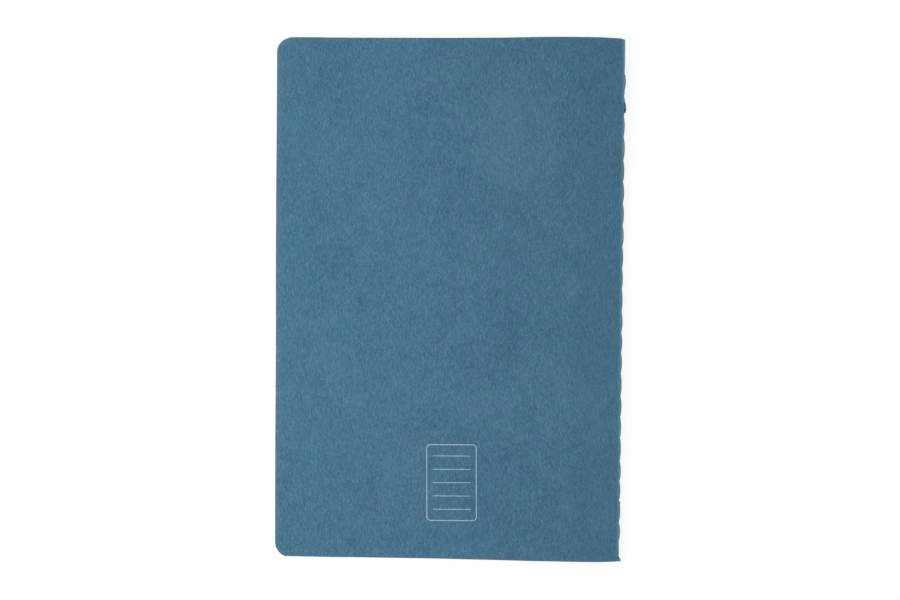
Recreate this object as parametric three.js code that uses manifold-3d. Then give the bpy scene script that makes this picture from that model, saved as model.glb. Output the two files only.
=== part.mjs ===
// Softcover notebook: one bundle of folded sheets in a folded card cover, sewn through the fold.
// It lies closed on its front cover, with the back cover up and the table at z = 0.
// Millimetres. +X points to the spine, +Y to the head of the pages and +Z up.
// A folded sheet is two leaves, one under and one over the middle plane, so that every leaf can turn.
// Layer 0 is the cover, and layer 1 is the outermost sheet.

import * as THREE from "three";
import { mergeVertices } from "three/addons/utils/BufferGeometryUtils.js";
import Module from "manifold-3d";

// Cover and sheets
const COVER_HEIGHT = 210;
const COVER_WIDTH = 139;
const CORNER_RADIUS = 6;
const CARD_THICKNESS = 0.35;
const PAPER_THICKNESS = 0.11;
const SHEET_COUNT = 16;
const LAYER_GAP = 0.02;

// The two centre leaves step apart over this width, to make room for the thread in the gutter
const GUTTER_STEP_WIDTH = 0.4;
const GUTTER_END_GAP = 0.1;

// Sewing
const STITCH_COUNT = 22;
const FIRST_HOLE_FROM_HEAD = 14;
const LAST_HOLE_FROM_TAIL = 9;
const NEEDLE_THREAD_RADIUS = 0.2;
const BOBBIN_THREAD_RADIUS = 0.17;
const THREAD_GAP = 0.03;
const THREAD_BEND_RADIUS = 0.25;
const STITCH_LIFT = 0.15;
const LOOP_RADIUS = 0.3;
const HOLE_CLEARANCE = 0.05;
const BOBBIN_PULL = 0.3;
const BOBBIN_PULL_LENGTH = 0.9;
const BOBBIN_TAIL = 2;

// Knot on the outside of the spine
const KNOT_FROM_HEAD = 28.5;
const KNOT_LENGTH = 4;
const KNOT_RADIUS = 0.42;

// One overrun serves every cut
const OVERRUN = 1;

// Facets
const FOLD_STEPS = 8;
const CORNER_STEPS = 6;
const BEND_STEPS = 2;
const LOOP_STEPS = 4;
const RUN_STEPS = 4;
const THREAD_SIDES = 6;
const KNOT_SIDES = 8;
const KNOT_STEPS = 6;

// Worked out from the sizes above. Every layer folds round the one line at FOLD_X and MIDDLE_Z.
const LAYER_PITCH = PAPER_THICKNESS + LAYER_GAP;
const MIDDLE_Z = CARD_THICKNESS + SHEET_COUNT * LAYER_PITCH + LAYER_GAP / 2;
const THICKNESS = 2 * MIDDLE_Z;
const KNOT_STANDOFF = THREAD_GAP + 2 * KNOT_RADIUS;
const SPINE_X = (COVER_WIDTH - KNOT_STANDOFF) / 2;
const FORE_EDGE_X = SPINE_X - COVER_WIDTH;
const FOLD_X = SPINE_X - MIDDLE_Z;
const HEAD_Y = COVER_HEIGHT / 2;
const TAIL_Y = -HEAD_Y;

const GUTTER_HALF = NEEDLE_THREAD_RADIUS + THREAD_GAP;
const SLIT_HALF = GUTTER_HALF + PAPER_THICKNESS + LAYER_GAP;

const OUTSIDE_RUN_X = SPINE_X + THREAD_GAP + NEEDLE_THREAD_RADIUS;
const BOBBIN_X = FOLD_X + GUTTER_STEP_WIDTH + BOBBIN_THREAD_RADIUS + THREAD_GAP;
const LOOP_X = BOBBIN_X + BOBBIN_PULL + BOBBIN_THREAD_RADIUS + THREAD_GAP + NEEDLE_THREAD_RADIUS;
const FIRST_HOLE_Y = HEAD_Y - FIRST_HOLE_FROM_HEAD;
const LAST_HOLE_Y = TAIL_Y + LAST_HOLE_FROM_TAIL;
const HOLE_HALF_LENGTH = LOOP_RADIUS + NEEDLE_THREAD_RADIUS + 2 * HOLE_CLEARANCE;
const HOLE_HALF_HEIGHT = NEEDLE_THREAD_RADIUS + HOLE_CLEARANCE;

const cardMaterial = new THREE.MeshStandardMaterial({ color: 0x49728a, roughness: 0.9, metalness: 0 });
const paperMaterial = new THREE.MeshStandardMaterial({ color: 0xece7da, roughness: 0.85, metalness: 0 });
const threadMaterial = new THREE.MeshStandardMaterial({ color: 0x44697f, roughness: 0.7, metalness: 0 });

const wasm = await Module();
wasm.setup();
const notebook = new THREE.Group();

// A closed geometry as a solid that can be cut and joined
function solidFrom(geometry) {
  const bare = geometry.clone();
  bare.deleteAttribute("normal");
  bare.deleteAttribute("uv");
  const merged = mergeVertices(bare);
  const vertProperties = new Float32Array(merged.attributes.position.array);
  const triVerts = new Uint32Array(merged.index.array);
  return new wasm.Manifold(new wasm.Mesh({ numProp: 3, vertProperties, triVerts }));
}

// A solid as a named mesh of the notebook
function addPiece(name, solid, material) {
  const { vertProperties, triVerts } = solid.getMesh();
  const geometry = new THREE.BufferGeometry();
  geometry.setAttribute("position", new THREE.BufferAttribute(vertProperties, 3));
  geometry.setIndex(new THREE.BufferAttribute(triVerts, 1));
  geometry.computeVertexNormals();
  const mesh = new THREE.Mesh(geometry, material.clone());
  mesh.name = name;
  notebook.add(mesh);
}

// A block between two corners
function block(low, high) {
  const size = new THREE.Vector3().subVectors(high, low);
  const geometry = new THREE.BoxGeometry(size.x, size.y, size.z);
  geometry.translate(low.x + size.x / 2, low.y + size.y / 2, low.z + size.z / 2);
  return solidFrom(geometry);
}

// The notebook's outline seen from above, square at the spine and rounded at the fore-edge
function outlineSolid() {
  const cornerX = FORE_EDGE_X + CORNER_RADIUS;
  const shape = new THREE.Shape();
  shape.moveTo(cornerX, TAIL_Y);
  shape.lineTo(SPINE_X + OVERRUN, TAIL_Y);
  shape.lineTo(SPINE_X + OVERRUN, HEAD_Y);
  shape.lineTo(cornerX, HEAD_Y);
  shape.absarc(cornerX, HEAD_Y - CORNER_RADIUS, CORNER_RADIUS, Math.PI / 2, Math.PI);
  shape.absarc(cornerX, TAIL_Y + CORNER_RADIUS, CORNER_RADIUS, Math.PI, 1.5 * Math.PI);
  const geometry = new THREE.ExtrudeGeometry(shape, {
    depth: THICKNESS + 2 * OVERRUN,
    bevelEnabled: false,
    curveSegments: CORNER_STEPS,
  });
  geometry.translate(0, 0, -OVERRUN);
  return solidFrom(geometry);
}

// A profile of [x, height from the middle plane], run along the spine and trimmed to the outline
function leafSolid(profile, side) {
  const points = profile.map(([x, height]) => new THREE.Vector2(x, MIDDLE_Z + side * height));
  const geometry = new THREE.ExtrudeGeometry(new THREE.Shape(points), {
    depth: COVER_HEIGHT + 2 * OVERRUN,
    bevelEnabled: false,
  });
  geometry.rotateX(Math.PI / 2);
  geometry.translate(0, HEAD_Y + OVERRUN, 0);
  return solidFrom(geometry).intersect(outline);
}

// A quarter of a layer's round fold, from its flat part to the middle plane or back
function foldPoints(radius, backwards) {
  const points = [];
  for (let step = 0; step <= FOLD_STEPS; step += 1) {
    const angle = (Math.PI / 2) * (step / FOLD_STEPS);
    points.push([FOLD_X + radius * Math.sin(angle), radius * Math.cos(angle)]);
  }
  return backwards ? points.reverse() : points;
}

// A flat leaf with its quarter of the fold
function foldedProfile(outer, inner) {
  return [
    [FORE_EDGE_X, inner],
    [FORE_EDGE_X, outer],
    ...foldPoints(outer, false),
    ...foldPoints(inner, true),
  ];
}

// A leaf that ends where its fold would begin, because the gutter takes the room of its fold
function flatProfile(outer, inner) {
  return [
    [FORE_EDGE_X, inner],
    [FORE_EDGE_X, outer],
    [FOLD_X, outer],
    [FOLD_X, inner],
  ];
}

// A centre leaf, which steps aside for the thread and runs on to the inside of the cover's fold
function centreProfile(outer, inner) {
  const stepX = FOLD_X + GUTTER_STEP_WIDTH;
  const endX = SPINE_X - CARD_THICKNESS - GUTTER_END_GAP;
  return [
    [FORE_EDGE_X, inner],
    [FORE_EDGE_X, outer],
    [FOLD_X, outer],
    [stepX, GUTTER_HALF + PAPER_THICKNESS],
    [endX, GUTTER_HALF + PAPER_THICKNESS],
    [endX, GUTTER_HALF],
    [stepX, GUTTER_HALF],
    [FOLD_X, inner],
  ];
}

// The room between the two halves of the sheets' folds, where the threads run
function slitSolid() {
  return block(
    new THREE.Vector3(FOLD_X, TAIL_Y - OVERRUN, MIDDLE_Z - SLIT_HALF),
    new THREE.Vector3(SPINE_X, HEAD_Y + OVERRUN, MIDDLE_Z + SLIT_HALF),
  );
}

// One leaf of a sheet. side is -1 under the middle plane and 1 over it.
function sheetLeaf(layer, side) {
  const outer = MIDDLE_Z - CARD_THICKNESS - LAYER_GAP - (layer - 1) * LAYER_PITCH;
  const inner = outer - PAPER_THICKNESS;
  if (layer === SHEET_COUNT) {
    return leafSolid(centreProfile(outer, inner), side);
  }
  if (inner <= SLIT_HALF) {
    return leafSolid(flatProfile(outer, inner), side);
  }
  return leafSolid(foldedProfile(outer, inner), side).subtract(slit);
}

// The needle's holes, from head to tail
function holePlaces() {
  const pitch = (FIRST_HOLE_Y - LAST_HOLE_Y) / STITCH_COUNT;
  return Array.from({ length: STITCH_COUNT + 1 }, (_, n) => FIRST_HOLE_Y - n * pitch);
}

// One half of the folded cover card, with its half of each hole
function coverHalf(side) {
  const whole = foldedProfile(MIDDLE_Z, MIDDLE_Z - CARD_THICKNESS);
  const card = leafSolid(whole, side);
  const parting = block(
    new THREE.Vector3(FOLD_X, TAIL_Y - OVERRUN, MIDDLE_Z - LAYER_GAP / 2),
    new THREE.Vector3(SPINE_X + OVERRUN, HEAD_Y + OVERRUN, MIDDLE_Z + LAYER_GAP / 2),
  );
  return holePlaces().reduce((solid, y) => {
    const hole = block(
      new THREE.Vector3(FOLD_X, y - HOLE_HALF_LENGTH, MIDDLE_Z - HOLE_HALF_HEIGHT),
      new THREE.Vector3(SPINE_X + OVERRUN, y + HOLE_HALF_LENGTH, MIDDLE_Z + HOLE_HALF_HEIGHT),
    );
    return solid.subtract(hole);
  }, card.subtract(parting));
}

// A route through given points, which a tube follows with one ring at each of them
class PointRoute extends THREE.Curve {
  constructor(points) {
    super();
    this.points = points;
  }

  getPoint(share) {
    const last = this.points.length - 1;
    const index = Math.min(Math.floor(share * last), last - 1);
    return this.points[index].clone().lerp(this.points[index + 1], share * last - index);
  }

  getUtoTmapping(share) {
    return share;
  }
}

// A round thread through points of [x, y] on the middle plane
function threadSolid(route, radius) {
  const points = route.map(([x, y]) => new THREE.Vector3(x, y, MIDDLE_Z));
  const section = Array.from({ length: THREAD_SIDES }, (_, n) => {
    const angle = (2 * Math.PI * n) / THREAD_SIDES;
    return new THREE.Vector2(radius * Math.cos(angle), radius * Math.sin(angle));
  });
  const geometry = new THREE.ExtrudeGeometry(new THREE.Shape(section), {
    steps: points.length - 1,
    bevelEnabled: false,
    extrudePath: new PointRoute(points),
  });
  return solidFrom(geometry);
}

// An arc of a route round a centre. Angles are in degrees from +X towards +Y.
function arcRoute(x, y, radius, from, to, steps) {
  return Array.from({ length: steps + 1 }, (_, n) => {
    const angle = THREE.MathUtils.degToRad(from + ((to - from) * n) / steps);
    return [x + radius * Math.cos(angle), y + radius * Math.sin(angle)];
  });
}

// The needle thread outside, between two holes: it stands off the fold most in the middle of the stitch
function outsideRun(fromY, toY) {
  return Array.from({ length: RUN_STEPS - 1 }, (_, n) => {
    const share = (n + 1) / RUN_STEPS;
    const lift = STITCH_LIFT * Math.sin(Math.PI * share);
    return [OUTSIDE_RUN_X + lift, THREE.MathUtils.lerp(fromY, toY, share)];
  });
}

// The needle thread runs outside to a hole, goes in and round its loop, and comes out again
function needleRoute() {
  const bendX = OUTSIDE_RUN_X - THREAD_BEND_RADIUS;
  const bendY = LOOP_RADIUS + THREAD_BEND_RADIUS;
  const loopX = LOOP_X + LOOP_RADIUS;
  const into = (y) => arcRoute(bendX, y + bendY, THREAD_BEND_RADIUS, 0, -90, BEND_STEPS);
  const round = (y) => arcRoute(loopX, y, LOOP_RADIUS, 90, 270, LOOP_STEPS);
  const outOf = (y) => arcRoute(bendX, y - bendY, THREAD_BEND_RADIUS, 90, 0, BEND_STEPS);
  const holes = holePlaces();
  const stitch = (y, n) => [...outsideRun(holes[n] - bendY, y + bendY), ...into(y)];
  const first = holes[0];
  const last = holes[STITCH_COUNT];
  return [
    [loopX, first - LOOP_RADIUS],
    ...outOf(first),
    ...holes.slice(1, STITCH_COUNT).flatMap((y, n) => [...stitch(y, n), ...round(y), ...outOf(y)]),
    ...stitch(last, STITCH_COUNT - 1),
    [loopX, last + LOOP_RADIUS],
  ];
}

// The knot's lump, drawn out along the spine
function knotSolid() {
  const profile = [new THREE.Vector2(0, -KNOT_LENGTH / 2)];
  for (let step = 0; step <= KNOT_STEPS; step += 1) {
    const share = step / KNOT_STEPS;
    const swell = Math.sin(Math.PI * share);
    const radius = THREE.MathUtils.lerp(NEEDLE_THREAD_RADIUS, KNOT_RADIUS, swell);
    profile.push(new THREE.Vector2(radius, KNOT_LENGTH * (share - 0.5)));
  }
  profile.push(new THREE.Vector2(0, KNOT_LENGTH / 2));
  const geometry = new THREE.LatheGeometry(profile, KNOT_SIDES);
  geometry.translate(SPINE_X + THREAD_GAP + KNOT_RADIUS, HEAD_Y - KNOT_FROM_HEAD, MIDDLE_Z);
  return solidFrom(geometry);
}

function needleThread() {
  return threadSolid(needleRoute(), NEEDLE_THREAD_RADIUS).add(knotSolid());
}

// The bobbin thread lies in the gutter and is pulled towards the spine at every hole
function bobbinThread() {
  const pulled = (y) => [
    [BOBBIN_X, y + BOBBIN_PULL_LENGTH],
    [BOBBIN_X + BOBBIN_PULL / 2, y + BOBBIN_PULL_LENGTH / 2],
    [BOBBIN_X + BOBBIN_PULL, y],
    [BOBBIN_X + BOBBIN_PULL / 2, y - BOBBIN_PULL_LENGTH / 2],
    [BOBBIN_X, y - BOBBIN_PULL_LENGTH],
  ];
  const route = [
    [BOBBIN_X, FIRST_HOLE_Y + BOBBIN_TAIL],
    ...holePlaces().flatMap(pulled),
    [BOBBIN_X, LAST_HOLE_Y - BOBBIN_TAIL],
  ];
  return threadSolid(route, BOBBIN_THREAD_RADIUS);
}

const outline = outlineSolid();
const slit = slitSolid();
const leafName = (layer, half) => `sheet_${String(layer).padStart(2, "0")}_${half}_leaf`;

addPiece("front_cover", coverHalf(-1), cardMaterial);
for (let layer = 1; layer <= SHEET_COUNT; layer += 1) {
  addPiece(leafName(layer, "front"), sheetLeaf(layer, -1), paperMaterial);
}
for (let layer = SHEET_COUNT; layer >= 1; layer -= 1) {
  addPiece(leafName(layer, "back"), sheetLeaf(layer, 1), paperMaterial);
}
addPiece("back_cover", coverHalf(1), cardMaterial);
addPiece("needle_thread", needleThread(), threadMaterial);
addPiece("bobbin_thread", bobbinThread(), threadMaterial);

export default notebook;
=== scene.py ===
import math

import bpy
import numpy as np
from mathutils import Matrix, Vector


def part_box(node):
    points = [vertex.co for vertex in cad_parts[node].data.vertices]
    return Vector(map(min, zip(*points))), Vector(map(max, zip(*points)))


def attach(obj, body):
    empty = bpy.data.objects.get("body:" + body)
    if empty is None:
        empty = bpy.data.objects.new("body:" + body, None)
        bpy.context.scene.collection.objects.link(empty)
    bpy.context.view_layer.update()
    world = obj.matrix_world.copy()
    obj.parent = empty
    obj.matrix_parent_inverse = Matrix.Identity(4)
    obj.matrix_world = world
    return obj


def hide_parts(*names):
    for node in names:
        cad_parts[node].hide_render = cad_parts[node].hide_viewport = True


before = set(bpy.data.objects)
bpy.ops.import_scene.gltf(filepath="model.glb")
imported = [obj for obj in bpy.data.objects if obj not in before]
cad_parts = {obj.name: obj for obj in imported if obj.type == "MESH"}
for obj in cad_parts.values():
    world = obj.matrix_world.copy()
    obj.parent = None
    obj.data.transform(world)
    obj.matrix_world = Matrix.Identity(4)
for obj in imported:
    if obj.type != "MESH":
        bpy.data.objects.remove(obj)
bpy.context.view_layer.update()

# Camera: it stands 0.8 m over the notebook, a little towards the spine and the head,
# and looks almost straight down, so the right and upper edges come out slightly larger.
MM = 0.001
camera = bpy.data.cameras.new("camera")
camera.sensor_width = 36
camera.lens = 79.54
camera.clip_start = 0.01
camera_stand = bpy.data.objects.new("camera", camera)
camera_stand.location = (49.6 * MM, 37.17 * MM, 800 * MM)
camera_stand.rotation_euler = [math.radians(turn) for turn in (-2.6579, 3.5554, 0.4624)]
bpy.context.scene.collection.objects.link(camera_stand)
bpy.context.scene.camera = camera_stand


# Covers: one sheet of through-dyed, uncoated card folded round the pages, cut here at the fold into
# a back and a front half. It is sewn through the fold, trimmed with the pages in one go and then
# rounded at the fore-edge. Lengths are in millimetres.
cover_low, cover_high = (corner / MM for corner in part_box("back_cover"))
FORE_EDGE_X, TAIL_Y = cover_low.x, cover_low.y
SPINE_X, HEAD_Y, TOP_Z = cover_high
MIDDLE_Z = TOP_Z / 2
FOLD_X = SPINE_X - MIDDLE_Z
CARD_THICKNESS = 0.35
SEAM_HALF = 0.004

# The stitches are a little uneven, as a hand-fed machine leaves them
HOLES_Y = [
    90.4, 81.7, 73.7, 65.6, 56.2, 47.6, 39.0, 30.2, 21.6, 13.0, 4.7, -4.2,
    -12.6, -20.8, -29.2, -38.2, -46.5, -55.0, -64.1, -72.5, -79.9, -89.2, -96.8,
]
KNOT_Y = 77.0
KNOT_HALF = 1.9
HOLE_HALF_LENGTH = 0.5
HOLE_HALF_HEIGHT = 0.24
HOLE_SOFTNESS = 0.12
HOLE_PULL = 0.05
HOLE_PULL_REACH = 2.2

# Where the trimmed edges stray from a straight line: [place along the edge, distance inside the
# nominal edge]. At the head and the tail this fades away from the edge, over its reach.
HEAD_TRIM = [
    (-70, 0.36), (-62, 0.45), (-40, 0.60), (0, 0.58), (14, 0.48), (43, 0.03), (57, 0.09), (64, 0.33),
    (67.2, 0.58), (69.1, 0.95),
]
HEAD_TRIM_REACH = 11
TAIL_TRIM = [
    (-70, 0.07), (-46, 0.03), (-36, 0.14), (-6, 0.22), (16, 0.1), (36, -0.06), (58, -0.06), (69.1, 0.33),
]
TAIL_TRIM_REACH = 7.5
FORE_EDGE_TRIM = [
    (-105, 0.1), (-57, 0.08), (-30, 0.19), (-18, 0.19), (18, 0.06), (38, 0.06), (64, 0.13), (105, 0.15),
]

# The fore-edge bows out, the spine's corner at the tail flares out, and the whole sags and ripples
FORE_EDGE_BOW = 0.1
BOW_START, BOW_REACH = -40, 30
TAIL_FLARE = 0.85
TAIL_FLARE_START, TAIL_FLARE_REACH = 1.9, 1.7
SAG = 0.07
RIPPLE = 0.02


def smooth_step(share):
    share = np.clip(share, 0, 1)
    return share * share * (3 - 2 * share)


def eased(points, x):
    """A curve through [x, value] points that is level at each of them."""
    at, values = np.array(points, float).T
    left = np.clip(np.searchsorted(at, x, side="right") - 1, 0, len(at) - 2)
    share = smooth_step((x - at[left]) / (at[left + 1] - at[left]))
    return values[left] + share * (values[left + 1] - values[left])


def corner_drop(from_edge, width, height, fullness):
    """How far a rounded corner takes the outline in, at a distance from the fore-edge."""
    share = np.clip(1 - from_edge / width, 0, 1)
    return height * (1 - (1 - share**fullness) ** (1 / fullness))


def max_over(fields):
    highest = None
    for field in fields:
        highest = field if highest is None else np.maximum(highest, field)
    return highest


def near_hole(y, reach):
    """1 at a sewing hole, fading over its reach."""
    return max_over(np.exp(-(((y - hole) / reach) ** 2)) for hole in HOLES_Y)


def as_handled(x, y, z):
    """What trimming, sewing and handling do to every layer alike. x, y and z are of the true shape."""
    trim = smooth_step((y - (HEAD_Y - HEAD_TRIM_REACH)) / HEAD_TRIM_REACH) * eased(HEAD_TRIM, x)
    trim = trim - smooth_step((TAIL_Y + TAIL_TRIM_REACH - y) / TAIL_TRIM_REACH) * eased(TAIL_TRIM, x)
    at_fold = smooth_step((x - (SPINE_X - 1)) / 1)
    pulled = HOLE_PULL * near_hole(y, HOLE_PULL_REACH) * at_fold
    flared = TAIL_FLARE * smooth_step((TAIL_Y + TAIL_FLARE_START - y) / TAIL_FLARE_REACH) * at_fold
    bow = FORE_EDGE_BOW * np.cos(np.pi * y / 210)
    bowed = (bow - eased(FORE_EDGE_TRIM, y)) * smooth_step((BOW_START - x) / BOW_REACH)
    swell = 0.5 + 0.5 * np.sin(x / 31 + 0.8 * np.sin(y / 47)) * np.cos(y / 39 + 0.6)
    ripple = 0.5 + 0.5 * np.sin(y / 13 + 1.3 * np.sin(x / 19)) * np.sin(x / 17 + 1)
    sag = (SAG * swell + RIPPLE * ripple) * z / TOP_Z
    return x - bowed - pulled + flared, y - trim, z - sag


# The rounded corners of the fore-edge: [width, height, fullness], where 2 is a true round
HEAD_CORNER = (6.9, 6.0, 2)
TAIL_CORNER = (4.3, 5.6, 1.7)
CORNER_COLUMNS = 7 * (1 - np.cos(np.linspace(0, np.pi / 2, 17)))
COLUMN_PITCH = 6.2
EDGE_ROUNDING = 0.1
EDGE_ROUNDING_REACH = 0.12
SLIP_REACH = 9
SHARP_ANGLE = math.radians(40)

# The fold stands out past a true round, and the thread has cut a groove into it beside each hole
FOLD_FULLER = 0.24
HEAD_FULLER = 0.06
HEAD_FULLER_START, HEAD_FULLER_REACH = 88, 4
FOLD_BUMPS = [(0.2, 87.7, 2.3), (-0.18, 84.2, 1.3)]
GROOVE_DEPTH = 0.25
GROOVE_REACH = 1.9
GROOVE_HALF = 0.26
FIRST_HOLE_EASE = 0.78
COVER_FOLD_STEPS = 16
COVER_FOLD_CROWDING = 1.7


def fold_fuller(y):
    """How far the nose of the card's fold stands out past a true round: more under its first stitch."""
    bulge = sum(height * np.exp(-(((y - middle) / reach) ** 2)) for height, middle, reach in FOLD_BUMPS)
    return FOLD_FULLER + HEAD_FULLER * smooth_step((y - HEAD_FULLER_START) / HEAD_FULLER_REACH) + bulge


def groove_depth(y):
    """How deep the thread has cut into the card's fold on its way to a hole: less at the first one."""
    eased_off = 1 - FIRST_HOLE_EASE * smooth_step((y - HOLES_Y[0] + 3) / 2.4)
    return GROOVE_DEPTH * near_hole(y, GROOVE_REACH) * eased_off


def thread_groove(rows, height):
    return groove_depth(rows)[None, :] * np.exp(-((height / GROOVE_HALF) ** 2))


def sheet_rows(round_holes):
    """Heights along the spine for a sheet's rows of points, closer at the ends and at the holes."""
    head = [105, 104.88, 104.5, 103.9, 103.2, 102, 100, 97, 94]
    tail = [-97.6, -99.5, -101, -102.3, -103, -103.5, -104, -104.5, -104.88, -105]
    between = [(a + b) / 2 for a, b in zip(HOLES_Y, HOLES_Y[1:])]
    holes = [hole + offset for hole in HOLES_Y for offset in round_holes]
    return np.array(sorted(head + tail + between + holes))


def mesh_piece(name, points, faces):
    mesh = bpy.data.meshes.new(name)
    mesh.from_pydata([tuple(point) for point in points * MM], [], faces)
    mesh.validate()
    mesh.shade_smooth()
    mesh.set_sharp_from_angle(angle=SHARP_ANGLE)
    piece = bpy.data.objects.new(name, mesh)
    bpy.context.scene.collection.objects.link(piece)
    return piece


def bound_sheet(name, outer, inner, side, rows, past_fold, slip=0.0):
    """A thin sheet from the fore-edge to its fold. outer and inner are its faces' distances from the
    middle plane, and past_fold gives their points beyond the flat part for each row."""
    flat_x = FORE_EDGE_X + np.concatenate([[0, 0.12], CORNER_COLUMNS[3:], np.arange(12, 136, COLUMN_PITCH)])
    flat_x = np.append(flat_x[flat_x < FOLD_X - 1], FOLD_X)
    from_edge = flat_x - FORE_EDGE_X
    high = HEAD_Y - corner_drop(from_edge, *HEAD_CORNER)
    low = TAIL_Y + corner_drop(from_edge, *TAIL_CORNER)
    share = (rows - TAIL_Y) / (HEAD_Y - TAIL_Y)
    flat_y = low[:, None] + share[None, :] * (high - low)[:, None]
    inset = np.minimum(from_edge[:, None], np.minimum(high[:, None] - flat_y, flat_y - low[:, None]))

    out_x, out_h, in_x, in_h = past_fold(rows)
    fold_y = np.repeat(rows[None, :], len(out_x), axis=0)
    fold_inset = np.minimum(HEAD_Y - fold_y, fold_y - TAIL_Y)
    inset = np.concatenate([inset, fold_inset])
    rounding = EDGE_ROUNDING * (outer - inner) * (1 - np.clip(inset / EDGE_ROUNDING_REACH, 0, 1)) * 2
    y = np.concatenate([flat_y, fold_y])
    flat = np.ones_like(flat_y)
    slipped = flat * flat_x[:, None] + slip * smooth_step(1 - from_edge / SLIP_REACH)[:, None]
    outside_x = np.concatenate([slipped, out_x])
    inside_x = np.concatenate([slipped, in_x])
    outside_h = np.concatenate([flat * outer, out_h]) - rounding
    inside_h = np.concatenate([flat * inner, in_h]) + rounding

    columns, count = y.shape
    grid = np.arange(columns * count).reshape(columns, count)
    inner_grid = grid + columns * count
    faces = []

    def strip(a, b, c, d):
        quads = np.stack([a.ravel(), b.ravel(), c.ravel(), d.ravel()], 1)
        faces.extend((quads if side > 0 else quads[:, ::-1]).tolist())

    strip(grid[:-1, :-1], grid[1:, :-1], grid[1:, 1:], grid[:-1, 1:])
    strip(inner_grid[:-1, :-1], inner_grid[:-1, 1:], inner_grid[1:, 1:], inner_grid[1:, :-1])
    strip(inner_grid[:-1, 0], inner_grid[1:, 0], grid[1:, 0], grid[:-1, 0])
    strip(grid[:-1, -1], grid[1:, -1], inner_grid[1:, -1], inner_grid[:-1, -1])
    strip(grid[0, :-1], grid[0, 1:], inner_grid[0, 1:], inner_grid[0, :-1])
    strip(inner_grid[-1, :-1], inner_grid[-1, 1:], grid[-1, 1:], grid[-1, :-1])

    x = np.concatenate([outside_x.ravel(), inside_x.ravel()])
    h = np.concatenate([outside_h.ravel(), inside_h.ravel()])
    handled = as_handled(x, np.concatenate([y.ravel(), y.ravel()]), MIDDLE_Z + side * h)
    piece = mesh_piece(name, np.stack(handled, 1), faces)
    wear = piece.data.attributes.new("from_edge", "FLOAT", "POINT")
    wear.data.foreach_set("value", np.concatenate([inset.ravel(), inset.ravel()]).astype(np.float32))
    return piece


def no_change(*place):
    return 0


def round_fold(outer, inner, steps, end_height, crowding=1.0, fuller=no_change, groove=no_change):
    """The quarter of a round fold, which stops at end_height from the middle plane. Its nose may stand out
    fuller than a true round, with its points crowded towards it and a groove along it."""
    turns = 1 - np.linspace(1, 0, steps + 1)[1:, None] ** crowding

    def arc(radius, rows):
        turn = turns * np.arccos(np.clip(end_height(rows) / radius, 0, 1))[None, :]
        out = radius + fuller(rows) * np.sin(turn) ** 2
        height = radius * np.cos(turn)
        return FOLD_X + out * np.sin(turn) - groove(rows, height), height

    def past_fold(rows):
        return *arc(outer, rows), *arc(inner, rows)

    return past_fold


def cover_end(rows):
    half = HOLE_HALF_LENGTH + HOLE_SOFTNESS / 2
    beside = max_over(smooth_step((half - abs(rows - hole)) / HOLE_SOFTNESS) for hole in HOLES_Y)
    return SEAM_HALF + (HOLE_HALF_HEIGHT - SEAM_HALF) * beside


def from_hex(code):
    """An sRGB hex colour as the linear numbers that a shader takes."""
    values = [int(code[n:n + 2], 16) / 255 for n in (1, 3, 5)]
    return *(v / 12.92 if v <= 0.04045 else ((v + 0.055) / 1.055) ** 2.4 for v in values), 1.0


def add(tree, kind, links=(), **settings):
    """Adds a node with its settings. links gives each input socket its value, the socket that feeds it, or
    the node whose first output in use feeds it. A MapRange's sockets 1 to 4 are the two ends that its value
    goes between and what they turn into, and a colour Mix's sockets 6 and 7 are its two colours."""
    node = tree.nodes.new("ShaderNode" + kind)
    for key, value in settings.items():
        setattr(node, key, value)
    for socket, value in dict(links).items():
        if isinstance(value, bpy.types.Node):
            value = next(output for output in value.outputs if output.enabled)
        if isinstance(value, bpy.types.NodeSocket):
            tree.links.new(value, node.inputs[socket])
        else:
            node.inputs[socket].default_value = value
    return node


def in_millimetres(tree):
    """A piece's own coordinates, in millimetres."""
    place = add(tree, "TexCoord").outputs["Object"]
    return add(tree, "VectorMath", {0: place, "Scale": 1 / MM}, operation="SCALE")


def new_material(name):
    material = bpy.data.materials.new(name)
    material.use_nodes = True
    material.node_tree.nodes.clear()
    return material, material.node_tree


# Uncoated card, dyed in the pulp. Short felted fibres lie mostly along the height, so the blue is
# broken by fine pale and dark streaks, with soft clouds of bluer and greener dye and no gloss.
CARD_DARK = "#275470"
CARD_LIGHT = "#55849d"
CARD_WARMER = "#5b7092"
CARD_GREENER = "#397683"
CUT_EDGE = "#8a929b"
# Painted shade, darker towards the fold
SPINE_SIDE_SHADE = "#355d72"
# Paler nose of the fold: rubbed wear and a painted highlight
RUBBED_AND_LIT = "#66939f"
# A faint paler patch high on the cover
PALER_PATCH = "#6688a0"
# Painted shadow of a small crease at the tail
PAINTED_CREASE_SHADOW = "#28526b"
PRINT_INK = "#b2cbda"

# Each layer of fibres: scale per millimetre across, along and through, turn in degrees, detail, share
FIBRE_LAYERS = [
    ((3.8, 1.9, 3.8), 5, 2, 1.22),
    ((2.7, 0.8, 2.7), 8, 2, 0.95),
    ((2.1, 0.45, 2.1), -10, 2, 0.62),
    ((0.6, 0.25, 0.6), 4, 2, 0.26),
    ((0.13, 0.1, 0.13), 0, 2, 0.28),
    ((0.03, 0.025, 0.03), 0, 1, 0.26),
]
FIBRE_CONTRAST = 1.44
DYE_SHARE = 0.25

# The sparse stray fibres: turn in degrees and where their pattern starts
STRAY_FIBRES = [(13, 31), (-24, 57)]

# Marks on the card, a faint paler patch and a painted crease shadow: [middle, one over its half width and
# height, fade, strength, colour]
MARKS = [
    ((28, 68, 0), (1 / 19, 1 / 33, 0), (0.5, 1.1), 0.09, PALER_PATCH),
    # The painted crease shadow at the tail
    ((68.75, -103.3, 0), (1.0, 1.3, 0), (0.3, 0.85), 0.85, PAINTED_CREASE_SHADOW),
]
WORN_REACH = 2.8
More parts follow.
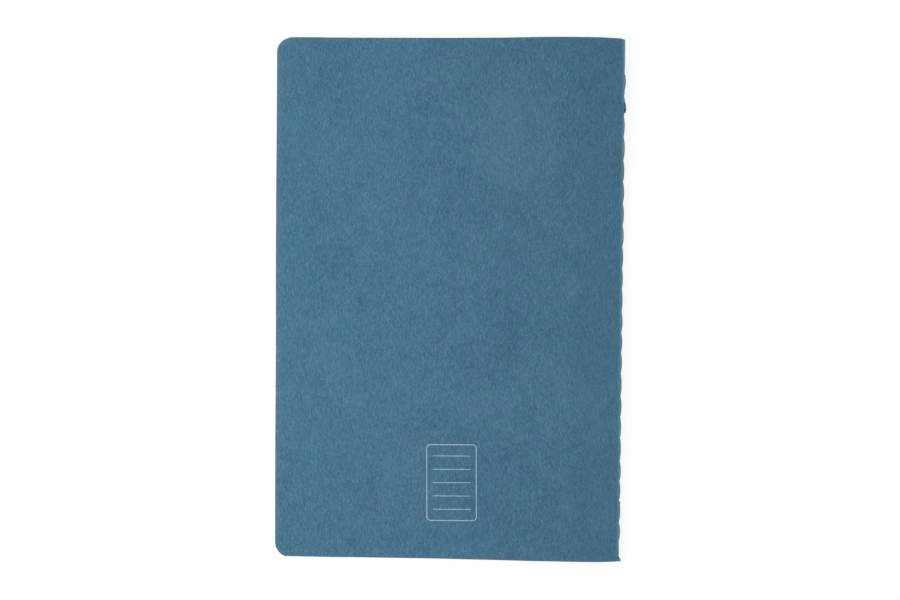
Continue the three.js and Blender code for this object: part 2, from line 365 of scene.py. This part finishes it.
# Where the painted shade towards the fold begins and where it is full
SPINE_SHADE_START, SPINE_SHADE_FULL = 46.0, 55.0
# Where the rubbed, painted-highlight nose of the fold begins and where it is full
RUBBED_AND_LIT_START, RUBBED_AND_LIT_FULL = 67.9, 69.1

PANEL_CENTRE = (1.7, -73.85)
PANEL_HALF = (10.0, 15.35)
PANEL_CORNER = 1.6
PANEL_TURN = math.radians(0.6)
PANEL_LINE = 0.3
RULE_LINE = 0.26
RULE_PITCH = 5.4
RULE_HALF_WIDTH = 7.6
RULE_COUNT = 5


def felted_fibres(tree, place):
    """Layers of long noise, from short fine fibres to broad clouds, with a few stray paler fibres."""
    tone = None
    for number, (scale, turn, detail, share) in enumerate(FIBRE_LAYERS):
        spot = add(tree, "Mapping", {
            "Vector": place, "Location": (13.1 * number, 7.7 * number, 3.3 * number),
            "Rotation": (0, 0, math.radians(turn)), "Scale": scale,
        })
        noise = add(tree, "TexNoise", {"Vector": spot, "Scale": 1, "Detail": detail, "Roughness": 0.6})
        centred = add(tree, "Math", {0: noise, 1: 0.5}, operation="SUBTRACT")
        part = add(tree, "Math", {0: centred, 1: share * FIBRE_CONTRAST}, operation="MULTIPLY")
        tone = part if tone is None else add(tree, "Math", {0: tone, 1: part})
    for turn, start in STRAY_FIBRES:
        spot = add(tree, "Mapping", {
            "Vector": place, "Location": (start, start, 0), "Rotation": (0, 0, math.radians(turn)),
            "Scale": (1.5, 0.42, 1.5),
        })
        noise = add(tree, "TexNoise", {"Vector": spot, "Scale": 1, "Detail": 1})
        stray = add(tree, "MapRange", {"Value": noise, 1: 0.63, 2: 0.8, 3: 0.0, 4: 0.75})
        tone = add(tree, "Math", {0: tone, 1: stray})
    return add(tree, "Math", {0: tone, 1: 0.5}, use_clamp=True)


def name_panel(tree, place, felt):
    """A blank name panel, printed in one pale ink: a thin rounded frame with plain lines to write on."""
    turned = add(tree, "Mapping", {"Vector": place, "Rotation": (0, 0, -PANEL_TURN)})
    cosine, sine = math.cos(PANEL_TURN), math.sin(PANEL_TURN)
    centre = (
        PANEL_CENTRE[0] * cosine + PANEL_CENTRE[1] * sine,
        PANEL_CENTRE[1] * cosine - PANEL_CENTRE[0] * sine,
        0,
    )
    local = add(tree, "VectorMath", {0: turned, 1: centre}, operation="SUBTRACT")
    away = add(tree, "VectorMath", {0: local}, operation="ABSOLUTE")

    # The frame is where the distance from a smaller, square-cornered core is the corner's radius
    core = (PANEL_HALF[0] - PANEL_CORNER, PANEL_HALF[1] - PANEL_CORNER, 1000)
    beyond = add(tree, "VectorMath", {0: away, 1: core}, operation="SUBTRACT")
    outside = add(tree, "VectorMath", {0: beyond, 1: (0, 0, 0)}, operation="MAXIMUM")
    reach = add(tree, "VectorMath", {0: outside}, operation="LENGTH")
    split = add(tree, "SeparateXYZ", {0: beyond})
    deepest = add(tree, "Math", {0: split.outputs[0], 1: split.outputs[1]}, operation="MAXIMUM")
    within = add(tree, "Math", {0: deepest, 1: 0.0}, operation="MINIMUM")
    from_core = add(tree, "Math", {0: reach, 1: within})
    ring = add(tree, "Math", {0: from_core, 1: PANEL_CORNER, 2: PANEL_LINE / 2}, operation="COMPARE")

    up = add(tree, "SeparateXYZ", {0: local}).outputs[1]
    number = add(tree, "Math", {0: up, 1: RULE_PITCH}, operation="DIVIDE")
    nearest = add(tree, "Math", {0: number}, operation="ROUND")
    from_rule = add(tree, "Math", {0: number, 1: nearest}, operation="SUBTRACT")
    rule = add(tree, "Math", {0: from_rule, 1: 0.0, 2: RULE_LINE / 2 / RULE_PITCH}, operation="COMPARE")
    side_on = add(tree, "SeparateXYZ", {0: away})
    short = add(tree, "Math", {0: side_on.outputs[0], 1: RULE_HALF_WIDTH}, operation="LESS_THAN")
    few = add(tree, "Math", {0: side_on.outputs[1], 1: RULE_COUNT / 2 * RULE_PITCH}, operation="LESS_THAN")
    rule = add(tree, "Math", {0: rule, 1: short}, operation="MULTIPLY")
    rule = add(tree, "Math", {0: rule, 1: few}, operation="MULTIPLY")

    # The ink lies on the outer face alone, and the felt has soaked some of it up
    level = add(tree, "SeparateXYZ", {0: place}).outputs[2]
    outer_face = add(tree, "Math", {0: level, 1: TOP_Z - CARD_THICKNESS / 2}, operation="GREATER_THAN")
    soaked = add(tree, "MapRange", {"Value": felt, 1: 0.2, 2: 0.8, 3: 0.78, 4: 1.0})
    inked = add(tree, "Math", {0: ring, 1: rule}, operation="MAXIMUM")
    inked = add(tree, "Math", {0: inked, 1: outer_face}, operation="MULTIPLY")
    return add(tree, "Math", {0: inked, 1: soaked}, operation="MULTIPLY")


def dyed_card():
    material, tree = new_material("uncoated_dyed_card")
    place = in_millimetres(tree)
    felt = felted_fibres(tree, place)
    card = add(tree, "Mix", {
        "Factor": felt, 6: from_hex(CARD_DARK), 7: from_hex(CARD_LIGHT),
    }, data_type="RGBA")

    cloud_place = add(tree, "Mapping", {"Vector": place, "Scale": (0.17, 0.15, 0.17), "Location": (5, 2, 9)})
    cloud = add(tree, "TexNoise", {"Vector": cloud_place, "Scale": 1, "Detail": 5, "Roughness": 0.86})
    hue = add(tree, "MapRange", {"Value": cloud, 1: 0.35, 2: 0.65})
    dye = add(tree, "Mix", {
        "Factor": hue, 6: from_hex(CARD_WARMER), 7: from_hex(CARD_GREENER),
    }, data_type="RGBA")
    card = add(tree, "Mix", {"Factor": DYE_SHARE, 6: card, 7: dye}, data_type="RGBA")

    # The cut edges are a little paler and greyer, where the knife has raised the fibres, and most at the
    # fore-edge, which is handled
    apart = add(tree, "SeparateXYZ", {0: place})
    across, along = apart.outputs[0], apart.outputs[1]
    from_edge = add(tree, "Attribute", attribute_name="from_edge").outputs["Fac"]
    worn = add(tree, "MapRange", {"Value": from_edge, 1: 0.0, 2: WORN_REACH, 3: 0.17, 4: 0.0})
    handled = add(tree, "MapRange", {
        "Value": across, 1: FORE_EDGE_X + 3, 2: FORE_EDGE_X + 7, 3: 1.0, 4: 0.4,
    })
    worn = add(tree, "Math", {0: worn, 1: handled}, operation="MULTIPLY")

    # Painted shade makes the cover a little darker towards the fold, and the fold's nose is paler, partly
    # rubbed and partly a painted highlight, but not beside the knot. There is a faint paler patch high on
    # the cover, and a painted crease shadow at the tail
    spine_side_shade = add(tree, "MapRange", {
        "Value": across, 1: SPINE_SHADE_START, 2: SPINE_SHADE_FULL, 3: 0.0, 4: 0.16,
    }, interpolation_type="SMOOTHSTEP")
    # The nose of the fold: rubbed paler, with a painted highlight on its curve
    rubbed_and_lit = add(tree, "MapRange", {
        "Value": across, 1: RUBBED_AND_LIT_START, 2: RUBBED_AND_LIT_FULL, 3: 0.0, 4: 0.5,
    }, interpolation_type="SMOOTHSTEP")
    from_knot = add(tree, "Math", {0: along, 1: KNOT_Y}, operation="SUBTRACT")
    from_knot = add(tree, "Math", {0: from_knot}, operation="ABSOLUTE")
    bared = add(tree, "MapRange", {"Value": from_knot, 1: KNOT_HALF - 0.4, 2: KNOT_HALF + 0.8})
    rubbed_and_lit = add(tree, "Math", {0: rubbed_and_lit, 1: bared}, operation="MULTIPLY")
    coats = [(worn, CUT_EDGE), (spine_side_shade, SPINE_SIDE_SHADE), (rubbed_and_lit, RUBBED_AND_LIT)]
    for centre, scale, fade, strength, colour in MARKS:
        from_spot = add(tree, "VectorMath", {0: place, 1: centre}, operation="SUBTRACT")
        from_spot = add(tree, "VectorMath", {0: from_spot, 1: scale}, operation="MULTIPLY")
        from_spot = add(tree, "VectorMath", {0: from_spot}, operation="LENGTH")
        mark = add(tree, "MapRange", {
            "Value": from_spot, 1: fade[0], 2: fade[1], 3: strength, 4: 0.0,
        }, interpolation_type="SMOOTHSTEP")
        coats.append((mark, colour))
    coats.append((name_panel(tree, place, felt), PRINT_INK))
    for strength, colour in coats:
        card = add(tree, "Mix", {"Factor": strength, 6: card, 7: from_hex(colour)}, data_type="RGBA")

    height = add(tree, "Bump", {"Height": felt, "Strength": 0.35, "Distance": 0.075 * MM})
    roughness = add(tree, "MapRange", {"Value": felt, 1: 0.0, 2: 1.0, 3: 0.97, 4: 0.86})
    shader = add(tree, "BsdfPrincipled", {
        "Base Color": card, "Roughness": roughness, "Normal": height, "Specular IOR Level": 0.25,
    })
    add(tree, "OutputMaterial", {"Surface": shader})
    return material


card_material = dyed_card()
cover_rows = sheet_rows([-2.7, -1.6, -0.95, -0.68, -0.53, -0.3, 0, 0.3, 0.53, 0.68, 0.95, 1.6, 2.7])
cover_fold = round_fold(
    MIDDLE_Z, MIDDLE_Z - CARD_THICKNESS, COVER_FOLD_STEPS, cover_end,
    crowding=COVER_FOLD_CROWDING, fuller=fold_fuller, groove=thread_groove,
)
for name, side in (("back_cover", 1), ("front_cover", -1)):
    cover = bound_sheet(name + "_card", MIDDLE_Z, MIDDLE_Z - CARD_THICKNESS, side, cover_rows, cover_fold)
    cover.data.materials.append(card_material)
    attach(cover, name)
    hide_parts(name)


# Pages: sheets of cream, uncoated writing paper, each folded once and nested in the next one out.
# Each leaf here is half a sheet, with its share of the fold. All are cut and rounded with the covers.
SHEET_COUNT = 16
PAPER_THICKNESS = 0.11
LAYER_GAP = 0.02
LAYER_PITCH = PAPER_THICKNESS + LAYER_GAP
GUTTER_HALF = 0.23
SLIT_HALF = 0.36
END_SLIT_HALF = 0.13
GUTTER_STEP = 0.4
GUTTER_END = SPINE_X - CARD_THICKNESS - 0.1
THREAD_ZONE = (HOLES_Y[-1] - 4, HOLES_Y[0] + 4)
THREAD_ZONE_FADE = 3
PAGE_FOLD_STEPS = 7


def in_thread_zone(rows):
    below_top = smooth_step((THREAD_ZONE[1] + THREAD_ZONE_FADE - rows) / THREAD_ZONE_FADE)
    return below_top * smooth_step((rows - THREAD_ZONE[0] + THREAD_ZONE_FADE) / THREAD_ZONE_FADE)


def page_end(rows):
    return END_SLIT_HALF + (SLIT_HALF - END_SLIT_HALF) * in_thread_zone(rows)


def gutter_fold(outer, inner):
    """The centre sheet's fold, which steps aside for the thread and runs on into the cover's fold."""
    steps = np.array([0.13, 0.27, GUTTER_STEP, 0.9, 1.5, GUTTER_END - FOLD_X])[:, None]

    def past_fold(rows):
        x = FOLD_X + np.repeat(steps, len(rows), axis=1)
        aside = smooth_step(steps / GUTTER_STEP) * (GUTTER_HALF - inner) * in_thread_zone(rows)[None, :]
        return x, outer + aside, x, inner + aside

    return past_fold


# Uncoated, machine-made writing paper: cream and matt, faintly cloudy, with sparse darker fibres
PAPER = "#ece7da"
PAPER_SHADE = "#e6e0d1"
PAPER_FIBRE = "#d6cdb8"
# Painted shade between the leaves, on their trimmed edges
PAPER_GAP_SHADE = "#cbc2ae"
RULED_INK = "#b4bcc3"
PAGE_RULE_PITCH = 7
PAGE_RULE_WIDTH = 0.2
FIRST_PAGE_RULE = 20
LAST_PAGE_RULE = 12


def writing_paper():
    material, tree = new_material("uncoated_writing_paper")
    place = in_millimetres(tree)
    cloud = add(tree, "TexNoise", {"Vector": place, "Scale": 0.35, "Detail": 4, "Roughness": 0.6})
    shaded = add(tree, "MapRange", {"Value": cloud, 1: 0.3, 2: 0.7})
    fibre_place = add(tree, "Mapping", {"Vector": place, "Scale": (2.4, 0.7, 2.4), "Rotation": (0, 0, 0.3)})
    fibre = add(tree, "TexNoise", {"Vector": fibre_place, "Scale": 1, "Detail": 2})
    flecked = add(tree, "MapRange", {"Value": fibre, 1: 0.62, 2: 0.74, 3: 0.0, 4: 0.45})

    # Plain ruled lines, from edge to edge
    up = add(tree, "SeparateXYZ", {0: place}).outputs[1]
    below = add(tree, "Math", {0: HEAD_Y - FIRST_PAGE_RULE, 1: up}, operation="SUBTRACT")
    number = add(tree, "Math", {0: below, 1: PAGE_RULE_PITCH}, operation="DIVIDE")
    nearest = add(tree, "Math", {0: number}, operation="ROUND")
    from_rule = add(tree, "Math", {0: number, 1: nearest}, operation="SUBTRACT")
    half_share = PAGE_RULE_WIDTH / 2 / PAGE_RULE_PITCH
    ruled = add(tree, "Math", {0: from_rule, 1: 0.0, 2: half_share}, operation="COMPARE")
    from_first = add(tree, "Math", {0: number, 1: -0.5}, operation="GREATER_THAN")
    to_last = add(tree, "Math", {0: up, 1: TAIL_Y + LAST_PAGE_RULE}, operation="GREATER_THAN")
    ruled = add(tree, "Math", {0: ruled, 1: from_first}, operation="MULTIPLY")
    ruled = add(tree, "Math", {0: ruled, 1: to_last}, operation="MULTIPLY")

    # The trimmed edges of the leaves show fine darker streaks, painted shade between the leaves, drawn three
    # leaves wide so that they show
    edge_place = add(tree, "Mapping", {"Vector": place, "Scale": (0.03, 0.03, 2.4)})
    streak = add(tree, "TexNoise", {"Vector": edge_place, "Scale": 1, "Detail": 2, "Roughness": 0.7})
    gap_shade = add(tree, "MapRange", {"Value": streak, 1: 0.38, 2: 0.62, 3: 0.0, 4: 0.45})
    from_edge = add(tree, "Attribute", attribute_name="from_edge").outputs["Fac"]
    cut = add(tree, "MapRange", {"Value": from_edge, 1: 0.0, 2: 0.1, 3: 1.0, 4: 0.0})
    gap_shade = add(tree, "Math", {0: gap_shade, 1: cut}, operation="MULTIPLY")

    paper = from_hex(PAPER)
    coats = [(shaded, PAPER_SHADE), (flecked, PAPER_FIBRE), (ruled, RULED_INK), (gap_shade, PAPER_GAP_SHADE)]
    for strength, colour in coats:
        paper = add(tree, "Mix", {"Factor": strength, 6: paper, 7: from_hex(colour)}, data_type="RGBA")
    height = add(tree, "Bump", {"Height": cloud, "Strength": 0.2, "Distance": 0.05 * MM})
    shader = add(tree, "BsdfPrincipled", {
        "Base Color": paper, "Roughness": 0.88, "Normal": height, "Specular IOR Level": 0.3,
    })
    add(tree, "OutputMaterial", {"Surface": shader})
    return material


paper_material = writing_paper()
page_rows = sheet_rows([-0.4, 0.4])
SLIP = 0.04
slips = np.random.default_rng(11).uniform(-SLIP, SLIP, SHEET_COUNT)
for layer in range(1, SHEET_COUNT + 1):
    outer = MIDDLE_Z - CARD_THICKNESS - LAYER_GAP - (layer - 1) * LAYER_PITCH
    inner = outer - PAPER_THICKNESS
    fold = round_fold(outer, inner, PAGE_FOLD_STEPS, page_end)
    if layer == SHEET_COUNT:
        fold = gutter_fold(outer, inner)
    for half, side in (("front", -1), ("back", 1)):
        name = f"sheet_{layer:02d}_{half}_leaf"
        leaf = bound_sheet(name + "_paper", outer, inner, side, page_rows, fold, slips[layer - 1])
        leaf.data.materials.append(paper_material)
        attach(leaf, name)
        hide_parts(name)


# Threads: two-ply dyed sewing thread, machine-sewn through the fold as a lockstitch. The needle
# thread shows on the outside of the spine, with its ends knotted near the head, and the bobbin
# thread lies in the gutter and locks each of its loops.
NEEDLE_RADIUS = 0.2
BOBBIN_RADIUS = 0.17
THREAD_GAP = 0.03
THREAD_SEAT = 0.12
STITCH_SLACK = [
    0.05, 0.05, -0.02, 0.09, 0.02, 0.04, 0.08, 0.11, -0.04, -0.05, -0.05,
    0.04, 0.0, -0.01, -0.02, 0.05, -0.05, -0.04, 0.05, -0.01, -0.01, 0.08,
]
BEND_RADIUS = 0.25
LOOP_RADIUS = 0.3
BOBBIN_X = FOLD_X + GUTTER_STEP + BOBBIN_RADIUS + THREAD_GAP
BOBBIN_PULL = 0.3
LOOP_X = BOBBIN_X + BOBBIN_PULL + BOBBIN_RADIUS + THREAD_GAP + NEEDLE_RADIUS + LOOP_RADIUS
PLY_PITCH = 1.5
PLY_SHARE = 0.23
THREAD_STEP = 0.13
THREAD_SIDES = 12
TAPER_LENGTH = 0.25
STITCH_STEPS = 34
LOCK_HALF = 1.1
BOBBIN_TAIL = 2


def arc_points(x, y, radius, start, stop, count):
    turns = np.radians(np.linspace(start, stop, count))
    return [(x + radius * math.cos(turn), y + radius * math.sin(turn)) for turn in turns]


def spaced(route, step):
    """The route's points again, a step apart."""
    route = np.array(route, float)
    lengths = np.linalg.norm(np.diff(route, axis=0), axis=1)
    along = np.concatenate([[0], np.cumsum(lengths)])
    marks = np.linspace(0, along[-1], int(along[-1] / step) + 2)
    return np.stack([np.interp(marks, along, route[:, axis]) for axis in range(route.shape[1])], 1), marks


def twisted_thread(route, radius, taper=0.0):
    """Points and faces of a two-ply thread along a route of [x, y, z] points."""
    centre, along = spaced(route, THREAD_STEP)
    ahead = np.gradient(centre, axis=0)
    ahead /= np.linalg.norm(ahead, axis=1)[:, None]
    up = np.zeros_like(centre)
    normal = np.array([0.0, 0.0, 1.0])
    for index, direction in enumerate(ahead):
        normal = normal - direction * (normal @ direction)
        normal /= np.linalg.norm(normal)
        up[index] = normal
    across = np.cross(ahead, up)
    turns = np.linspace(0, 2 * np.pi, THREAD_SIDES, endpoint=False)[None, :] + 0 * along[:, None]
    twist = np.pi * along[:, None] / PLY_PITCH * 2
    swell = radius * (1 - PLY_SHARE + PLY_SHARE * np.cos(2 * turns))
    ends = np.minimum(along, along[-1] - along)[:, None]
    swell = swell * (1 - taper * (1 - np.clip(ends / TAPER_LENGTH, 0, 1)) ** 2)
    points = (
        centre[:, None, :]
        + (swell * np.cos(turns + twist))[..., None] * up[:, None, :]
        + (swell * np.sin(turns + twist))[..., None] * across[:, None, :]
    )
    rings = len(centre)
    grid = np.arange(rings * THREAD_SIDES).reshape(rings, THREAD_SIDES)
    after = np.roll(grid, -1, axis=1)
    faces = np.stack([grid[:-1], after[:-1], after[1:], grid[1:]], -1).reshape(-1, 4)[:, ::-1].tolist()
    faces.append(grid[0].tolist())
    faces.append(grid[-1, ::-1].tolist())
    return points.reshape(-1, 3), faces


def joined(parts):
    points, faces, count = [], [], 0
    for part_points, part_faces in parts:
        points.append(part_points)
        faces += [[index + count for index in face] for face in part_faces]
        count += len(part_points)
    return np.concatenate(points), faces


def seat_x(y):
    """The middle of a thread that lies on the fold of the card."""
    pulled = HOLE_PULL * near_hole(y, HOLE_PULL_REACH)
    return SPINE_X + THREAD_SEAT + float(fold_fuller(y) - groove_depth(y) - pulled)


def needle_route():
    bend_y = LOOP_RADIUS + BEND_RADIUS
    route = [(LOOP_X, HOLES_Y[0] - LOOP_RADIUS)]
    for start, stop, slack in zip(HOLES_Y, HOLES_Y[1:], STITCH_SLACK):
        high, low = start - bend_y, stop + bend_y
        route += arc_points(seat_x(high) - BEND_RADIUS, high, BEND_RADIUS, 90, 0, 6)
        for share in np.linspace(0, 1, STITCH_STEPS)[1:-1]:
            y = high + share * (low - high)
            route.append((seat_x(y) + slack * math.sin(math.pi * share), y))
        route += arc_points(seat_x(low) - BEND_RADIUS, low, BEND_RADIUS, 0, -90, 6)
        if stop != HOLES_Y[-1]:
            route += arc_points(LOOP_X, stop, LOOP_RADIUS, 90, 270, 9)
    route.append((LOOP_X, HOLES_Y[-1] + LOOP_RADIUS))
    return [(x, y, MIDDLE_Z) for x, y in route]


def bobbin_route():
    route = [(BOBBIN_X, HOLES_Y[0] + BOBBIN_TAIL)]
    for hole in HOLES_Y:
        for offset in np.linspace(LOCK_HALF, -LOCK_HALF, 13):
            pull = BOBBIN_PULL * 0.5 * (1 + math.cos(math.pi * offset / LOCK_HALF))
            route.append((BOBBIN_X + pull, hole + offset))
    route.append((BOBBIN_X, HOLES_Y[-1] - BOBBIN_TAIL))
    return [(x, y, MIDDLE_Z) for x, y in route]


# The two ends of the needle thread, wound round each other and pulled tight on the outside
KNOT_TURNS = 2.2
KNOT_SPREAD = 0.21
KNOT_RADIUS = 0.23
KNOT_SEAT = 0.38
KNOT_FLATNESS = 0.8
KNOT_OUT = 0.24
KNOT_LUMP = 0.1
KNOT_LIFT = 0.2


def knot_strand(phase):
    route = []
    for share in np.linspace(-1, 1, 60):
        fullness = math.cos(0.5 * math.pi * share)
        swell = KNOT_SPREAD * fullness**0.35
        turn = math.pi * KNOT_TURNS * share + phase
        out = KNOT_OUT * fullness**0.3 + KNOT_LUMP * math.exp(-(((share + 0.4) / 0.35) ** 2))
        route.append((
            SPINE_X + KNOT_SEAT + out + swell * math.cos(turn) * KNOT_FLATNESS,
            KNOT_Y + KNOT_HALF * share,
            MIDDLE_Z + KNOT_LIFT * fullness**0.5 + swell * math.sin(turn),
        ))
    return route


# A short cut end of thread that stands out of a hole low on the spine
CUT_END_Y = -80.9
CUT_END_RADIUS = 0.16


def cut_end():
    return [
        (SPINE_X - 0.2, CUT_END_Y, MIDDLE_Z),
        (SPINE_X + 0.35, CUT_END_Y - 0.1, MIDDLE_Z + 0.05),
        (SPINE_X + 0.75, CUT_END_Y - 0.3, MIDDLE_Z + 0.1),
    ]


# Spun polyester-cotton, dyed to match the card, with painted shade in the groove of the twist. It is a
# little bluer where it is doubled at the knot, and painted lighter there, as if better lit
THREAD_DARK = "#3b6479"
THREAD_LIGHT = "#5f8da3"
# Painted shade in the groove of the twist
THREAD_GROOVE_SHADE = "#2c4c60"
# Bluer for the doubled thread, and lighter as painted light on the knot
KNOT_BLUE_AND_LIGHT = "#5a8cb0"


def spun_thread():
    material, tree = new_material("dyed_two_ply_thread")
    place = in_millimetres(tree)
    fuzz = add(tree, "TexNoise", {"Vector": place, "Scale": 6, "Detail": 3, "Roughness": 0.6})
    slub = add(tree, "TexNoise", {"Vector": place, "Scale": 0.5, "Detail": 2})
    uneven = add(tree, "Math", {0: fuzz, 1: slub})
    uneven = add(tree, "MapRange", {"Value": uneven, 1: 0.75, 2: 1.25})
    up = add(tree, "SeparateXYZ", {0: place}).outputs[1]
    at_knot = add(tree, "Math", {0: up, 1: KNOT_Y, 2: KNOT_HALF}, operation="COMPARE")
    crown = add(tree, "Attribute", attribute_name="ply_crown").outputs["Fac"]
    # Painted shade in the groove between the plies, left off at the knot
    shaded = add(tree, "MapRange", {"Value": crown, 1: 0.0, 2: 0.6, 3: 0.45, 4: 0.0})
    shaded = add(tree, "Math", {0: shaded, 1: at_knot}, operation="SUBTRACT", use_clamp=True)
    # At the knot the thread is bluer where doubled and painted lighter, as if better lit
    doubled_and_lit = add(tree, "Math", {0: at_knot, 1: 0.5}, operation="MULTIPLY")

    thread = from_hex(THREAD_DARK)
    for strength, colour in ((uneven, THREAD_LIGHT), (shaded, THREAD_GROOVE_SHADE), (doubled_and_lit, KNOT_BLUE_AND_LIGHT)):
        thread = add(tree, "Mix", {"Factor": strength, 6: thread, 7: from_hex(colour)}, data_type="RGBA")
    height = add(tree, "Bump", {"Height": fuzz, "Strength": 0.5, "Distance": 0.03 * MM})
    shader = add(tree, "BsdfPrincipled", {
        "Base Color": thread, "Roughness": 0.8, "Normal": height,
        "Specular IOR Level": 0.3, "Sheen Weight": 0.15, "Sheen Roughness": 0.5,
    })
    add(tree, "OutputMaterial", {"Surface": shader})
    return material


thread_material = spun_thread()
needle_parts = [
    twisted_thread(needle_route(), NEEDLE_RADIUS),
    twisted_thread(knot_strand(0), KNOT_RADIUS, 0.6),
    twisted_thread(knot_strand(math.pi), KNOT_RADIUS, 0.6),
    twisted_thread(cut_end(), CUT_END_RADIUS, 0.5),
]
for name, parts in (
    ("needle_thread", needle_parts),
    ("bobbin_thread", [twisted_thread(bobbin_route(), BOBBIN_RADIUS, 0.5)]),
):
    thread = mesh_piece(name + "_twist", *joined(parts))
    around = np.linspace(0, 4 * np.pi, THREAD_SIDES, endpoint=False)
    crown = np.tile(0.5 + 0.5 * np.cos(around), len(thread.data.vertices) // THREAD_SIDES)
    crowns = thread.data.attributes.new("ply_crown", "FLOAT", "POINT")
    crowns.data.foreach_set("value", crown.astype(np.float32))
    thread.data.materials.append(thread_material)
    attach(thread, "sheet_16_front_leaf")
    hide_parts(name)


# Floor: a plain white sweep under the notebook, as matt as paper. It reads as white to the camera and
# keeps the soft shadow.
def white_sweep():
    material, tree = new_material("white_studio_floor")
    path = add(tree, "LightPath").outputs
    seen = add(tree, "Math", {0: path["Is Camera Ray"], 1: path["Is Glossy Ray"]}, operation="MAXIMUM")
    seen = add(tree, "Math", {0: seen, 1: path["Is Transmission Ray"]}, operation="MAXIMUM")
    place = add(tree, "TexCoord").outputs["Object"]
    distance = add(tree, "VectorMath", {0: place}, operation="LENGTH")
    glow = add(tree, "MapRange", {"Value": distance, 1: 0.25, 2: 1.2, 3: 0.82, 4: 0.9})
    # Where it shows only through a slot, as in the gutter of an opened notebook, it goes dark with painted
    # shade
    opening = add(tree, "AmbientOcclusion", {"Distance": 6 * MM}, samples=16).outputs["AO"]
    painted_slot_shade = add(tree, "MapRange", {"Value": opening, 1: 0.2, 2: 0.42})
    glow = add(tree, "Math", {0: glow, 1: painted_slot_shade}, operation="MULTIPLY")
    light = add(tree, "Emission", {"Color": (1, 1, 1, 1), "Strength": glow})
    shade = add(tree, "BsdfDiffuse", {"Color": (0.24, 0.24, 0.24, 1)})
    white = add(tree, "AddShader", {0: light, 1: shade})
    paint = add(tree, "BsdfDiffuse", {"Color": (0.88, 0.88, 0.88, 1)})
    both = add(tree, "MixShader", {0: seen, 1: paint, 2: white})
    add(tree, "OutputMaterial", {"Surface": both})
    return material


FLOOR_HALF = 3.0
FLOOR_Z = -0.02 * MM
floor_mesh = bpy.data.meshes.new("studio_floor")
floor_mesh.from_pydata(
    [(-FLOOR_HALF, -FLOOR_HALF, FLOOR_Z), (FLOOR_HALF, -FLOOR_HALF, FLOOR_Z),
     (FLOOR_HALF, FLOOR_HALF, FLOOR_Z), (-FLOOR_HALF, FLOOR_HALF, FLOOR_Z)],
    [], [(0, 1, 2, 3)],
)
floor = bpy.data.objects.new("studio_floor", floor_mesh)
bpy.context.scene.collection.objects.link(floor)
floor.data.materials.append(white_sweep())


# Light: a white room, brighter at its walls than overhead, a soft lamp close by at the fore-edge side,
# which makes the left of the cover a little brighter, and a weaker one far off at the spine side.
world = bpy.data.worlds.new("white_room")
world.use_nodes = True
world.node_tree.nodes.clear()
room = world.node_tree
seen = add(room, "LightPath").outputs["Is Camera Ray"]
height = add(room, "SeparateXYZ", {0: add(room, "TexCoord").outputs["Generated"]}).outputs[2]
wall_light = add(room, "MapRange", {"Value": height, 1: 0.0, 2: 1.0, 3: 1.15, 4: 0.185})
room_light = add(room, "Background", {"Color": (1, 1, 1, 1), "Strength": wall_light})
backdrop = add(room, "Background", {"Color": (1, 1, 1, 1), "Strength": 1.0})
looked_at = add(room, "MixShader", {0: seen, 1: room_light, 2: backdrop})
add(room, "OutputWorld", {"Surface": looked_at})
bpy.context.scene.world = world

for name, place, size, power in (
    ("key_lamp", (-0.3, -0.03, 0.34), 0.4, 1.22),
    ("spine_lamp", (1.3, 0.1, 0.42), 0.9, 6.0),
):
    lamp = bpy.data.lights.new(name, "AREA")
    lamp.shape = "DISK"
    lamp.size = size
    lamp.energy = power
    stand = bpy.data.objects.new(name, lamp)
    stand.location = place
    stand.rotation_euler = (-stand.location).to_track_quat("-Z", "Y").to_euler()
    stand.visible_camera = False
    bpy.context.scene.collection.objects.link(stand)

bpy.context.scene.view_settings.view_transform = "Standard"
